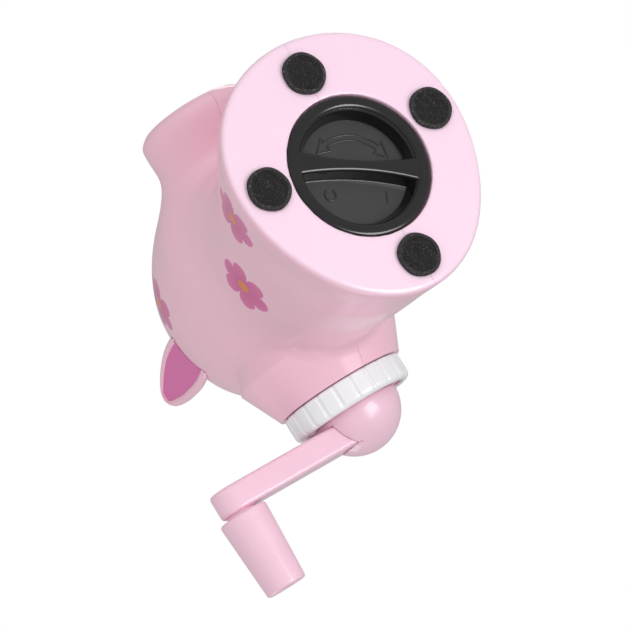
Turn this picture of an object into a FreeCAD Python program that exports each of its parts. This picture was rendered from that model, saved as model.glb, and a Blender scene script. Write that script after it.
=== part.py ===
import FreeCAD, Part
import math
import os
import re
import Sketcher

# Rotary cheese grater with an egg-shaped, eared body on a hollow pedestal.
# Frame: millimetres, +Z up, origin on the standing plane under the twist plug.
# +X points at the grated-cheese outlet, -X at the crank, so +Y is the left side.

doc = FreeCAD.newDocument("RotaryCheeseGrater")
Vector = FreeCAD.Vector
X_AXIS = Vector(1, 0, 0)
Y_AXIS = Vector(0, 1, 0)
Z_AXIS = Vector(0, 0, 1)

# ---------------------------------------------------------------- dimensions
DIMENSIONS = [
    # feet
    ("pad_diameter", 20.0),
    ("pad_thickness", 2.2),
    ("end_pad_distance", 46.5),
    ("side_pad_forward", 8.0),
    ("side_pad_distance", 44.3),
    # body shells
    ("shell_wall", 2.6),
    ("base_floor", 3.0),
    ("base_edge_round", 1.9),
    ("deck_height", 84.0),
    ("deck_thickness", 2.4),
    ("rim_height", 206.0),
    # crank line
    ("axis_height", 131.0),
    ("barrel_end", 65.0),
    ("barrel_end_radius", 32.5),
    ("barrel_root", 45.0),
    ("barrel_root_radius", 41.8),
    ("barrel_front", 30.0),
    ("barrel_room_rear", 62.4),
    # inner housing
    ("bore_radius", 25.6),
    ("housing_radius", 27.8),
    ("neck_end", 73.5),
    ("housing_front", 32.0),
    ("chute_centre", 4.0),
    ("chute_length", 44.0),
    ("chute_width", 34.0),
    ("chute_wall", 2.2),
    ("spout_end", 74.5),
    ("spout_height", 112.0),
    ("spout_radius", 22.6),
    ("spout_wall", 2.0),
    # outlet snout
    ("snout_end", 80.0),
    ("snout_lip_radius", 28.8),
    # drum
    ("drum_radius", 24.6),
    ("drum_sheet", 1.0),
    ("drum_rear", 56.0),
    ("drum_front", 28.0),
    ("drum_rim_radius", 25.2),
    ("drum_rim_length", 4.0),
    ("drum_hub_thickness", 5.0),
    ("hub_boss_radius", 9.0),
    ("hub_boss_length", 3.0),
    ("grating_hole_radius", 2.3),
    ("grating_start", 46.0),
    ("grating_pitch", 9.2),
    # cover plate, bush and shaft
    ("cover_radius", 27.6),
    ("cover_outer", 76.2),
    ("cover_inner", 73.6),
    ("spigot_radius", 25.3),
    ("spigot_end", 69.0),
    ("bush_radius", 8.0),
    ("bush_flange_radius", 10.5),
    ("bush_flange", 1.6),
    ("shaft_radius", 5.5),
    ("shaft_clearance", 0.06),
    ("shaft_round_end", 60.0),
    ("shaft_collar_radius", 9.0),
    ("shaft_collar_rear", 62.0),
    ("shaft_collar_length", 2.0),
    ("shaft_drive_end", 53.6),
    ("shaft_square", 7.4),
    # locking ring
    ("ring_rear", 77.8),
    ("ring_front", 65.3),
    ("ring_radius", 30.9),
    ("ring_bore_radius", 28.3),
    ("ring_lip_radius", 26.4),
    ("ring_lip", 1.2),
    ("ring_notch_radius", 1.9),
    ("ring_notch_depth", 0.8),
    ("ring_notches", 22),
    # crank
    ("dome_radius", 22.2),
    ("dome_wall", 2.0),
    ("dome_base", 77.2),
    ("arm_inner", 80.0),
    ("arm_outer", 92.6),
    ("arm_reach", 76.5),
    ("arm_root_radius", 10.5),
    ("arm_tip_radius", 9.4),
    ("screw_radius", 2.0),
    ("screw_head_radius", 4.0),
    # grip
    ("grip_start", 93.9),
    ("grip_end", 133.0),
    ("grip_root_radius", 12.0),
    ("grip_tip_radius", 9.9),
    ("grip_pin_radius", 3.0),
    ("grip_bore_clearance", 0.08),
    # plug
    ("plug_hole_radius", 33.25),
    ("plug_radius", 32.8),
    ("plug_face", 2.5),
    ("plug_recess_depth", 7.7),
    ("plug_floor_radius", 24.2),
    ("plug_lip_radius", 27.6),
    ("plug_body_radius", 29.4),
    ("plug_top", 14.0),
    ("plug_bar_angle", 118.3),
    ("plug_bar_waist", 4.6),
    ("plug_bar_end", 12.0),
    ("plug_bar_reach", 31.0),
    ("plug_bar_draft", 3.0),
    ("plug_bar_recess", 0.3),
    ("plug_wall", 2.2),
    ("flange_radius", 29.9),
    ("flange_thickness", 3.0),
    ("lug_radius", 32.3),
    ("lug_thickness", 2.0),
    ("lug_clearance", 0.4),
    # pusher
    ("pusher_clearance", 0.5),
    ("pusher_bottom", 158.5),
    ("pusher_flange", 2.4),
    ("pusher_flange_length", 54.0),
    ("pusher_flange_width", 42.0),
    ("pusher_cap", 3.6),
    ("pusher_wall", 2.0),
    # ears
    ("ear_offset", 34.5),
    ("ear_centre", 11.0),
    ("ear_base_height", 174.0),
    ("ear_tip_height", 234.0),
]

sheet = doc.addObject("Spreadsheet::Sheet", "Dimensions")
for row, (alias, value) in enumerate(DIMENSIONS, start=1):
    sheet.set("A%d" % row, alias)
    sheet.set("B%d" % row, str(value))
    sheet.setAlias("B%d" % row, alias)
doc.recompute()
ALIASES = {alias for alias, value in DIMENSIONS}
SPARE_CELL = "D1"


def size(alias):
    """The number held by one cell of the sheet."""
    return float(sheet.get(alias))


def linked(text):
    """An expression with each dimension's name pointed at the sheet."""
    def point(match):
        word = match.group(0)
        return "Dimensions." + word if word in ALIASES else word
    return re.sub(r"[a-z_]+", point, text)


def bind(target, prop, text):
    target.setExpression(prop, linked(text))


def number(text):
    """The value of a sum of dimensions, worked out in a spare cell."""
    sheet.set(SPARE_CELL, "=" + text)
    sheet.recompute()
    return float(sheet.get(SPARE_CELL))


NODES = []


def finish_node(target, label):
    """Name a finished sub-part; its label names its file."""
    target.Label = label
    NODES.append(target)
    return target


# ---------------------------------------------------------------- PartDesign
def origin_plane(body, role):
    for feature in body.Origin.OriginFeatures:
        if feature.Role == role:
            return feature
    raise RuntimeError("no plane " + role)


def new_body(label):
    body = doc.addObject("PartDesign::Body", label + "_body")
    finish_node(body, label)
    return body


def outline_sketch(body, name, role, corners):
    """A closed outline whose corners are pairs of sheet expressions."""
    sketch = body.newObject("Sketcher::SketchObject", name)
    sketch.AttachmentSupport = [(origin_plane(body, role), "")]
    sketch.MapMode = "FlatFace"
    points = [Vector(number(u), number(v), 0) for u, v in corners]
    count = len(points)
    for index in range(count):
        edge = Part.LineSegment(points[index], points[(index + 1) % count])
        sketch.addGeometry(edge, False)
    for index in range(count):
        sketch.addConstraint(Sketcher.Constraint("Coincident", index, 2, (index + 1) % count, 1))
    for index, (u, v) in enumerate(corners):
        for kind, text, start in (("DistanceX", u, points[index].x), ("DistanceY", v, points[index].y)):
            if abs(start) < 1e-9:
                axis = -2 if kind == "DistanceX" else -1
                sketch.addConstraint(Sketcher.Constraint("PointOnObject", index, 1, axis))
                continue
            rule = sketch.addConstraint(Sketcher.Constraint(kind, -1, 1, index, 1, start))
            label = "corner%d%s" % (index, kind[-1])
            sketch.renameConstraint(rule, label)
            sketch.setExpression("Constraints." + label, linked(text))
    return sketch


def turned_body(label, corners, on_crank_line=True):
    """A body turned from one outline: (along X, radius) or (radius, up Z)."""
    body = new_body(label)
    sketch = outline_sketch(body, label + "_profile", "XZ_Plane", corners)
    turn = body.newObject("PartDesign::Revolution", label + "_turn")
    turn.Profile = sketch
    turn.ReferenceAxis = (sketch, ["H_Axis" if on_crank_line else "V_Axis"])
    turn.Angle = 360
    if on_crank_line:
        bind(body, ".Placement.Base.z", "axis_height")
    sketch.Visibility = False
    body.Tip = turn
    return body


def disc_pad(label, radius, length):
    """A plain padded disc on the XY plane."""
    body = new_body(label)
    sketch = body.newObject("Sketcher::SketchObject", label + "_outline")
    sketch.AttachmentSupport = [(origin_plane(body, "XY_Plane"), "")]
    sketch.MapMode = "FlatFace"
    sketch.addGeometry(Part.Circle(Vector(0, 0, 0), Z_AXIS, number(radius)), False)
    sketch.addConstraint(Sketcher.Constraint("Coincident", 0, 3, -1, 1))
    rule = sketch.addConstraint(Sketcher.Constraint("Radius", 0, number(radius)))
    sketch.renameConstraint(rule, "radius")
    sketch.setExpression("Constraints.radius", linked(radius))
    pad = body.newObject("PartDesign::Pad", label + "_pad")
    pad.Profile = sketch
    bind(pad, "Length", length)
    body.Tip = pad
    return body


# ---------------------------------------------------------------- primitives
def cylinder(name, radius, length, base=("0", "0", "0"), direction=Z_AXIS):
    rod = doc.addObject("Part::Cylinder", name)
    bind(rod, "Radius", radius)
    bind(rod, "Height", length)
    rod.Placement.Rotation = FreeCAD.Rotation(Z_AXIS, direction)
    for axis, text in zip("xyz", base):
        bind(rod, ".Placement.Base." + axis, text)
    return rod


def crank_rod(name, radius, rear, length):
    """A cylinder on the crank line that starts at one X and runs forward."""
    return cylinder(name, radius, length, (rear, "0", "axis_height"), X_AXIS)


def box(name, length, width, height, corner):
    block = doc.addObject("Part::Box", name)
    bind(block, "Length", length)
    bind(block, "Width", width)
    bind(block, "Height", height)
    for axis, text in zip("xyz", corner):
        bind(block, ".Placement.Base." + axis, text)
    return block


def cut(name, base, tool):
    feature = doc.addObject("Part::Cut", name)
    feature.Base = base
    feature.Tool = tool
    return feature


def fuse(name, shapes):
    feature = doc.addObject("Part::MultiFuse", name)
    feature.Shapes = shapes
    return feature


# ---------------------------------------------------------------- body shells
# The moulded body is a free form: cross-sections stacked up Z, each a smooth
# outline with its own reach forward, back and to the side.
BODY_SECTIONS = [
    # height, front, back, half width, fullness of the front corners
    (2.2, 63.4, 61.2, 58.0, 1.5),
    (6.0, 63.0, 61.0, 57.7, 1.5),
    (20.0, 58.4, 59.8, 54.6, 1.9),
    (40.0, 51.0, 58.4, 50.3, 1.8),
    (60.0, 46.4, 56.8, 46.2, 1.4),
    (80.0, 45.8, 55.4, 43.2, 0.9),
    (96.0, 50.4, 54.8, 41.6, 0.3),
    (112.0, 56.0, 55.2, 41.6, 0.0),
    (128.0, 61.4, 56.0, 42.4, 0.0),
    (146.0, 60.2, 55.8, 42.2, 0.0),
    (162.0, 56.4, 54.0, 40.8, 0.0),
    (177.0, 51.6, 50.0, 38.0, 0.0),
    (189.0, 46.6, 44.5, 34.6, 0.0),
    (198.0, 42.4, 38.5, 31.0, 0.0),
    (203.5, 38.8, 33.2, 27.6, 0.0),
    (206.0, 36.4, 29.8, 25.2, 0.0),
]
SECTION_POINTS = 36


def section_wire(height, front, back, half_width, fullness, inset=0.0):
    """A smooth closed outline from its reaches, by a short cosine series."""
    front, back, half_width = front - inset, back - inset, half_width - inset
    third = -fullness
    mean = ((front + back) / 2 + half_width) / 2
    second = ((front + back) / 2 - half_width) / 2
    first = (front - back) / 2 - third
    points = []
    for step in range(SECTION_POINTS):
        turn = 2 * math.pi * step / SECTION_POINTS
        reach = mean + first * math.cos(turn) + second * math.cos(2 * turn) + third * math.cos(3 * turn)
        points.append(Vector(reach * math.cos(turn), reach * math.sin(turn), height))
    curve = Part.BSplineCurve()
    curve.interpolate(Points=points, PeriodicFlag=True)
    return Part.Wire([curve.toShape()])


def body_loft(inset, lowest, highest):
    """The stacked body between two heights, drawn in by the inset."""
    heights = [row[0] for row in BODY_SECTIONS]

    def at(level):
        for low, high in zip(BODY_SECTIONS, BODY_SECTIONS[1:]):
            if low[0] <= level <= high[0]:
                share = (level - low[0]) / (high[0] - low[0])
                return tuple(a + (b - a) * share for a, b in zip(low, high))
        raise ValueError(level)

    rows = [at(lowest)]
    rows += [row for row in BODY_SECTIONS if lowest + 1.0 < row[0] < highest - 1.0]
    rows.append(at(highest))
    wires = [section_wire(*row, inset=inset) for row in rows]
    return Part.makeLoft(wires, True, False)


# Outlet snout: round sections from inside the body to the rolled lip.
SNOUT_SECTIONS = [
    # x from the snout's end, radius as a share of the lip, height above the spout end
    (52.0, 1.16, 17.0),
    (42.0, 1.05, 15.5),
    (34.0, 0.965, 12.8),
    (26.0, 0.925, 9.4),
    (18.0, 0.93, 5.0),
    (10.0, 0.985, 1.4),
    (5.5, 1.0, 0.2),
    (2.2, 0.965, 0.0),
    (0.0, 0.875, 0.0),
]


def round_wire(x, y, z, radius, normal=X_AXIS):
    return Part.Wire([Part.makeCircle(radius, Vector(x, y, z), normal)])


def snout_loft():
    wires = []
    for back, share, rise in SNOUT_SECTIONS:
        x = size("snout_end") - back
        wires.append(round_wire(x, 0, size("spout_height") + rise, share * size("snout_lip_radius")))
    return Part.makeLoft(wires, True, False)


def spout_loft(extra, rear_reach=0.0, front_reach=0.0):
    """The outlet spout from the drum bore down to the snout's mouth."""
    start, end = size("housing_front"), size("spout_end")
    top, bottom = size("axis_height"), size("spout_height")
    slope = (bottom - top) / (end - start)
    wires = [
        round_wire(start - rear_reach, 0, top, size("housing_radius") + extra),
        round_wire(start, 0, top, size("housing_radius") + extra),
        round_wire(end + front_reach, 0, bottom + slope * front_reach, size("spout_radius") + extra),
    ]
    if rear_reach == 0.0:
        wires.pop(0)
    return Part.makeLoft(wires, True, True)


def crank_cylinder(radius, rear, front):
    """A cylinder on the crank line between two X values."""
    return Part.makeCylinder(radius, front - rear, Vector(rear, 0, size("axis_height")), X_AXIS)


def chute_block(extra, low, high):
    length = size("chute_length") + 2 * extra
    width = size("chute_width") + 2 * extra
    corner = Vector(size("chute_centre") - length / 2, -width / 2, low)
    return Part.makeBox(length, width, high - low, corner)


# Dowel places at the parting plane: x, z of each boss centre.
DOWEL_PLACES = [(-55.0, 24.0), (52.8, 24.0), (-45.5, 176.0), (50.5, 168.0)]
DOWEL_RADIUS = 1.6
DOWEL_HALF_LENGTH = 5.0
BOSS_RADIUS = 3.8
BOSS_HALF_LENGTH = 7.0
CLEAR = 0.3


def cross_rods(radius, half_length):
    rods = []
    for x, z in DOWEL_PLACES:
        rods.append(Part.makeCylinder(radius, 2 * half_length, Vector(x, -half_length, z), Y_AXIS))
    return rods


def plug_lug_shapes(radius, inner, low, high, spread, turn):
    """Three equal sectors used for the plug's lugs and their entry notches."""
    sectors = []
    for index in range(3):
        ring = Part.makeCylinder(radius, high - low, Vector(0, 0, low), Z_AXIS, spread)
        ring = ring.cut(Part.makeCylinder(inner, high - low, Vector(0, 0, low)))
        ring.rotate(Vector(0, 0, 0), Z_AXIS, turn + 120 * index - spread / 2)
        sectors.append(ring)
    return sectors


LUG_SPREAD = 24.0
NOTCH_SPREAD = 32.0
LUG_TURN = 58.3
PLUG_TRAVEL = 50.0

foot = size("pad_thickness")
wall = size("shell_wall")
floor_top = foot + size("base_floor")
deck_low = size("deck_height")
deck_high = deck_low + size("deck_thickness")
top = size("rim_height")
level = size("axis_height")

outer = body_loft(0.0, foot, top)
bottom_edges = [edge for edge in outer.Edges if abs(edge.BoundBox.ZMax - foot) < 0.01]
outer = outer.makeFillet(size("base_edge_round"), bottom_edges)
barrel = Part.makeCone(
    size("barrel_end_radius"),
    size("barrel_root_radius"),
    size("barrel_end") - size("barrel_root"),
    Vector(-size("barrel_end"), 0, level),
    X_AXIS,
)
barrel = barrel.fuse(crank_cylinder(size("barrel_root_radius"), -size("barrel_root"), -size("barrel_front")))
snout = snout_loft()
outer = outer.fuse([barrel, snout])

storage_room = body_loft(wall, floor_top, deck_low)
upper_room = body_loft(wall, deck_high, top - wall)
barrel_room = Part.makeCone(
    size("barrel_end_radius") - wall,
    size("barrel_root_radius") - wall,
    size("barrel_end") - size("barrel_root"),
    Vector(-size("barrel_end") + wall, 0, level),
    X_AXIS,
)
room_limit = Part.makeBox(size("barrel_root"), 4 * size("barrel_front"), top)
room_limit.translate(Vector(-size("barrel_room_rear"), -2 * size("barrel_front"), deck_high))
barrel_room = barrel_room.common(room_limit)
shell = outer.cut([storage_room, upper_room, barrel_room])
bosses = Part.makeCompound(cross_rods(BOSS_RADIUS, BOSS_HALF_LENGTH)).common(outer)
shell = shell.fuse(list(bosses.Solids))
shell = shell.cut(cross_rods(DOWEL_RADIUS, DOWEL_HALF_LENGTH))
# room for the housing, its chute and its spout
shell = shell.cut([
    crank_cylinder(size("housing_radius") + CLEAR, -size("barrel_end") - 5, size("housing_front")),
    chute_block(size("chute_wall") + CLEAR, level, top + 5),
    spout_loft(CLEAR, 1.0, 12.0),
])
# plug opening with its inner bayonet flange
hole_radius = size("plug_hole_radius")
flange_ring = Part.makeCylinder(hole_radius + 3, size("flange_thickness"), Vector(0, 0, floor_top))
shell = shell.fuse(flange_ring)
shell = shell.cut([
    Part.makeCylinder(hole_radius, size("base_floor") + 2, Vector(0, 0, foot - 2)),
    Part.makeCylinder(size("flange_radius"), 20, Vector(0, 0, foot)),
])
notch_top = floor_top + size("flange_thickness")
notches = plug_lug_shapes(
    size("lug_radius") + 0.5, 20, foot, notch_top + 1, NOTCH_SPREAD, LUG_TURN - PLUG_TRAVEL
)
shell = shell.cut(notches)

for label, side in (("left_body_shell", 1), ("right_body_shell", -1)):
    half_space = Part.makeBox(300, 100, 300, Vector(-150, 0 if side > 0 else -100, -10))
    half = shell.common(half_space)
    if len(half.Solids) != 1:
        raise ValueError("%s is in %d pieces" % (label, len(half.Solids)))
    feature = doc.addObject("Part::Feature", label + "_form")
    feature.Shape = half.Solids[0]
    feature.Placement = FreeCAD.Placement()
    finish_node(feature, label)

dowels = doc.addObject("Part::Feature", "joint_dowels_form")
dowels.Shape = Part.makeCompound(cross_rods(DOWEL_RADIUS - 0.02, DOWEL_HALF_LENGTH - 0.3))
finish_node(dowels, "joint_dowels")

# ---------------------------------------------------------------- ears
# Each ear is a cupped leaf standing in the X-Z plane beside the hopper rim.
EAR_SECTIONS = [
    # share of the height, centre shift back, half length along X, half thickness
    (0.00, -1.0, 13.0, 4.6),
    (0.20, 0.0, 14.4, 4.6),
    (0.42, 0.8, 14.0, 4.5),
    (0.62, 2.0, 12.2, 4.3),
    (0.80, 3.4, 9.2, 3.9),
    (0.92, 4.4, 5.8, 3.2),
    (1.00, 5.0, 1.8, 1.4),
]
EAR_RIM = 2.4
EAR_SKIN = 0.9
LINING_OUTWARD = 3.4
LINING_DEPTH = 1.6
LINING_TOP = 0.92


def ear_loft(narrower, thinner, low_share, high_share, outward):
    wires = []
    for share, back, half_length, half_thick in EAR_SECTIONS:
        if share < low_share or share > high_share:
            continue
        z = size("ear_base_height") + share * (size("ear_tip_height") - size("ear_base_height"))
        major = max(half_length - narrower, 0.8)
        minor = max(half_thick - thinner, 0.6)
        centre = Vector(-size("ear_centre") - back, outward, z)
        ellipse = Part.Ellipse(centre, major, minor)
        wires.append(Part.Wire([ellipse.toShape()]))
    return Part.makeLoft(wires, True, False)


TRIM_SIZE = 60.0
TRIM_LOW = 150.0
body_keep_out = body_loft(-0.06, TRIM_LOW, top)
for label, side in (("left", 1), ("right", -1)):
    offset = side * size("ear_offset")
    lobe = ear_loft(0.0, 0.0, 0.0, 1.0, offset)
    hollow = ear_loft(EAR_RIM, EAR_SKIN, 0.0, LINING_TOP, offset + side * LINING_OUTWARD)
    insert = hollow.common(lobe)
    back = lobe.cut(hollow).cut(body_keep_out)
    trim = Part.makeBox(TRIM_SIZE, TRIM_SIZE, 2 * TRIM_SIZE)
    trim_middle = offset + side * (LINING_DEPTH + TRIM_SIZE / 2)
    trim.translate(Vector(-size("ear_centre") - TRIM_SIZE / 2, trim_middle - TRIM_SIZE / 2, TRIM_LOW))
    insert = insert.cut(trim).cut(body_keep_out)
    for shape, name in ((back, label + "_ear"), (insert, label + "_ear_lining")):
        solids = sorted(shape.Solids, key=lambda solid: -solid.Volume)
        feature = doc.addObject("Part::Feature", name + "_form")
        feature.Shape = solids[0]
        finish_node(feature, name)

# ---------------------------------------------------------------- housing
# One food-safe moulding: drum bore, threaded neck, hopper chute and outlet spout.
drum_tube = crank_cylinder(size("housing_radius"), -size("neck_end"), size("housing_front"))
chute_top = top + 0.6
chute = chute_block(size("chute_wall"), level, chute_top)
housing = drum_tube.fuse([chute, spout_loft(0.0)])
bore = crank_cylinder(size("bore_radius"), -size("neck_end") - 1, size("housing_front"))
spout_bore = spout_loft(-size("spout_wall"), 0.5, 8.0)
housing = housing.cut([bore, chute_block(0.0, level, chute_top + 1), spout_bore])
housing_feature = doc.addObject("Part::Feature", "drum_housing_form")
housing_feature.Shape = housing.Solids[0] if len(housing.Solids) == 1 else housing
finish_node(housing_feature, "drum_housing")

# ---------------------------------------------------------------- locking ring
ring = turned_body("locking_ring", [
    ("-ring_rear", "ring_lip_radius"),
    ("-ring_rear", "ring_radius - 1.6"),
    ("-ring_rear + 0.5", "ring_radius - 0.6"),
    ("-ring_rear + 1.6", "ring_radius"),
    ("-ring_front - 1.2", "ring_radius"),
    ("-ring_front", "ring_radius - 0.9"),
    ("-ring_front", "ring_bore_radius"),
    ("-ring_rear + ring_lip", "ring_bore_radius"),
    ("-ring_rear + ring_lip", "ring_lip_radius"),
])
doc.recompute()
flute_sketch = ring.newObject("Sketcher::SketchObject", "ring_flute_outline")
flute_sketch.AttachmentSupport = [(origin_plane(ring, "YZ_Plane"), "")]
flute_sketch.MapMode = "FlatFace"
flute_height = "ring_radius + ring_notch_radius - ring_notch_depth"
flute_centre = Vector(0, number(flute_height), 0)
flute_sketch.addGeometry(Part.Circle(flute_centre, Z_AXIS, size("ring_notch_radius")), False)
flute_sketch.addConstraint(Sketcher.Constraint("PointOnObject", 0, 3, -2))
radius_rule = flute_sketch.addConstraint(Sketcher.Constraint("Radius", 0, size("ring_notch_radius")))
flute_sketch.renameConstraint(radius_rule, "flute")
flute_sketch.setExpression("Constraints.flute", linked("ring_notch_radius"))
place_rule = flute_sketch.addConstraint(Sketcher.Constraint("DistanceY", -1, 1, 0, 3, flute_centre.y))
flute_sketch.renameConstraint(place_rule, "reach")
flute_sketch.setExpression("Constraints.reach", linked(flute_height))
flute = ring.newObject("PartDesign::Pocket", "ring_flute")
flute.Profile = flute_sketch
flute.Type = 1
flute.Midplane = True
flute_pattern = ring.newObject("PartDesign::PolarPattern", "ring_flutes")
flute_pattern.Originals = [flute]
flute_pattern.Axis = (flute_sketch, ["N_Axis"])
flute_pattern.Angle = 360
bind(flute_pattern, "Occurrences", "ring_notches")
ring.Tip = flute_pattern

# ---------------------------------------------------------------- cover plate, bush, shaft
turned_body("cover_plate", [
    ("-cover_outer", "bush_radius + shaft_clearance"),
    ("-cover_outer", "cover_radius"),
    ("-cover_inner", "cover_radius"),
    ("-cover_inner", "spigot_radius"),
    ("-spigot_end", "spigot_radius"),
    ("-spigot_end", "spigot_radius - 2.2"),
    ("-cover_inner + 0.4", "spigot_radius - 2.2"),
    ("-cover_inner + 0.4", "bush_radius + 3"),
    ("-spigot_end + 3", "bush_radius + 3"),
    ("-spigot_end + 3", "bush_radius + shaft_clearance"),
])
turned_body("shaft_bush", [
    ("-cover_outer - 0.5", "shaft_radius + shaft_clearance"),
    ("-cover_outer - 0.5", "bush_radius"),
    ("-spigot_end + 3", "bush_radius"),
    ("-spigot_end + 3", "bush_flange_radius"),
    ("-spigot_end + 3 + bush_flange", "bush_flange_radius"),
    ("-spigot_end + 3 + bush_flange", "shaft_radius + shaft_clearance"),
])
shaft_round = crank_rod(
    "shaft_round", "shaft_radius", "-arm_inner - 0.2", "arm_inner + 0.2 - shaft_round_end"
)
shaft_collar = crank_rod("shaft_collar", "shaft_collar_radius", "-shaft_collar_rear", "shaft_collar_length")
shaft_drive = box(
    "shaft_drive", "arm_outer - 1.6 - shaft_drive_end", "shaft_square", "shaft_square",
    ("-arm_outer + 1.6", "-shaft_square / 2", "axis_height - shaft_square / 2"),
)
shaft_solid = fuse("shaft_solid", [shaft_round, shaft_collar, shaft_drive])
shaft_tap = crank_rod("shaft_tap", "screw_radius", "-arm_outer - 1", "12")
finish_node(cut("drive_shaft_form", shaft_solid, shaft_tap), "drive_shaft")

# ---------------------------------------------------------------- drum
turned_body("drum_rim", [
    ("drum_front - drum_rim_length + 1", "drum_radius - drum_sheet - 1.8"),
    ("drum_front - drum_rim_length + 1", "drum_radius - drum_sheet - 0.02"),
    ("drum_front", "drum_radius - drum_sheet - 0.02"),
    ("drum_front", "drum_rim_radius"),
    ("drum_front + 1.6", "drum_rim_radius"),
    ("drum_front + 1.6", "drum_radius - drum_sheet - 1.8"),
])
drum_outside = crank_rod("drum_outside", "drum_radius", "-drum_rear", "drum_rear + drum_front")
drum_inside = crank_rod(
    "drum_inside", "drum_radius - drum_sheet", "-drum_rear - 1", "drum_rear + drum_front + 2"
)
drum_sheet_form = cut("drum_sheet_form", drum_outside, drum_inside)
GRATING_ROWS = 8
GRATING_HOLES = 7
holes = []
for column in range(GRATING_HOLES):
    for row in range(GRATING_ROWS):
        turn = 360.0 / GRATING_ROWS * (row + 0.5 * (column % 2))
        hole = doc.addObject("Part::Cylinder", "grating_hole_%d_%d" % (column, row))
        bind(hole, "Radius", "grating_hole_radius")
        bind(hole, "Height", "drum_radius + 4")
        hole.Placement.Rotation = FreeCAD.Rotation(X_AXIS, turn)
        bind(hole, ".Placement.Base.x", "{0} * grating_pitch - grating_start".format(column))
        bind(hole, ".Placement.Base.z", "axis_height")
        holes.append(hole)
grating = fuse("grating_holes", holes)
finish_node(cut("grating_drum_form", drum_sheet_form, grating), "grating_drum")

hub_disc = crank_rod(
    "hub_disc", "drum_radius - drum_sheet - 0.02", "-drum_rear", "drum_hub_thickness"
)
hub_boss = crank_rod(
    "hub_boss", "hub_boss_radius", "-drum_rear - hub_boss_length", "drum_hub_thickness + hub_boss_length"
)
hub_solid = fuse("hub_solid", [hub_disc, hub_boss])
hub_socket = box(
    "hub_socket", "drum_hub_thickness + 2", "shaft_square + 0.1", "shaft_square + 0.1",
    ("-drum_rear - hub_boss_length - 1", "-shaft_square / 2 - 0.05", "axis_height - shaft_square / 2 - 0.05"),
)
finish_node(cut("drum_hub_form", hub_solid, hub_socket), "drum_hub")

# ---------------------------------------------------------------- crank
arm_root = crank_rod("arm_root", "arm_root_radius", "-arm_outer", "arm_outer - arm_inner")
arm_tip = cylinder(
    "arm_tip", "arm_tip_radius", "arm_outer - arm_inner",
    ("-arm_outer", "-arm_reach", "axis_height"), X_AXIS,
)
arm_beam = doc.addObject("Part::Wedge", "arm_beam")
arm_beam.Xmin = 0
arm_beam.X2min = 0
arm_beam.Ymin = 0
arm_beam.Zmin = 0
bind(arm_beam, "Xmax", "arm_outer - arm_inner")
bind(arm_beam, "X2max", "arm_outer - arm_inner")
bind(arm_beam, "Ymax", "arm_reach")
bind(arm_beam, "Zmax", "2 * arm_tip_radius")
bind(arm_beam, "Z2min", "arm_tip_radius - arm_root_radius")
bind(arm_beam, "Z2max", "arm_tip_radius + arm_root_radius")
bind(arm_beam, ".Placement.Base.x", "-arm_outer")
bind(arm_beam, ".Placement.Base.y", "-arm_reach")
bind(arm_beam, ".Placement.Base.z", "axis_height - arm_tip_radius")
arm_blank = fuse("arm_blank", [arm_root, arm_beam, arm_tip])
arm_socket = box(
    "arm_socket", "arm_outer - arm_inner - 1.5", "shaft_square + 0.1", "shaft_square + 0.1",
    ("-arm_outer + 1.5", "-shaft_square / 2 - 0.05", "axis_height - shaft_square / 2 - 0.05"),
)
arm_shaft_seat = crank_rod("arm_shaft_seat", "shaft_radius + 0.05", "-arm_inner - 0.25", "0.3")
arm_screw_hole = crank_rod("arm_screw_hole", "screw_radius + 0.1", "-arm_outer - 1", "6")
arm_pin_hole = cylinder(
    "arm_pin_hole", "grip_pin_radius", "arm_outer - arm_inner + 2",
    ("-arm_outer - 1", "-arm_reach", "axis_height"), X_AXIS,
)
arm_openings = fuse("arm_openings", [arm_socket, arm_shaft_seat, arm_screw_hole, arm_pin_hole])
finish_node(cut("crank_arm_form", arm_blank, arm_openings), "crank_arm")

dome_outer = doc.addObject("Part::Sphere", "dome_outer")
bind(dome_outer, "Radius", "dome_radius")
dome_inner = doc.addObject("Part::Sphere", "dome_inner")
bind(dome_inner, "Radius", "dome_radius - dome_wall")
for ball, start in ((dome_outer, 0), (dome_inner, -60)):
    ball.Angle1 = start
    ball.Angle2 = 90
    ball.Placement.Rotation = FreeCAD.Rotation(Z_AXIS, Vector(-1, 0, 0))
    bind(ball, ".Placement.Base.x", "-dome_base")
    bind(ball, ".Placement.Base.z", "axis_height")
dome_shell = cut("dome_shell", dome_outer, dome_inner)
dome_window = box(
    "dome_window", "arm_outer - arm_inner + 0.1", "dome_radius + 1", "2 * arm_root_radius + 0.1",
    ("-arm_outer - 0.05", "-dome_radius - 1", "axis_height - arm_root_radius - 0.05"),
)
finish_node(cut("crank_dome_form", dome_shell, dome_window), "crank_dome")

screw_head = crank_rod("screw_head", "screw_head_radius", "-arm_outer - 1.85", "1.8")
screw_shank = crank_rod("screw_shank", "screw_radius - 0.02", "-arm_outer - 0.1", "10")
finish_node(fuse("crank_screw_form", [screw_head, screw_shank]), "crank_screw")

# ---------------------------------------------------------------- grip
def turned_on_pin(label, corners):
    body = turned_body(label, corners)
    bind(body, ".Placement.Base.y", "-arm_reach")
    return body


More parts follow.
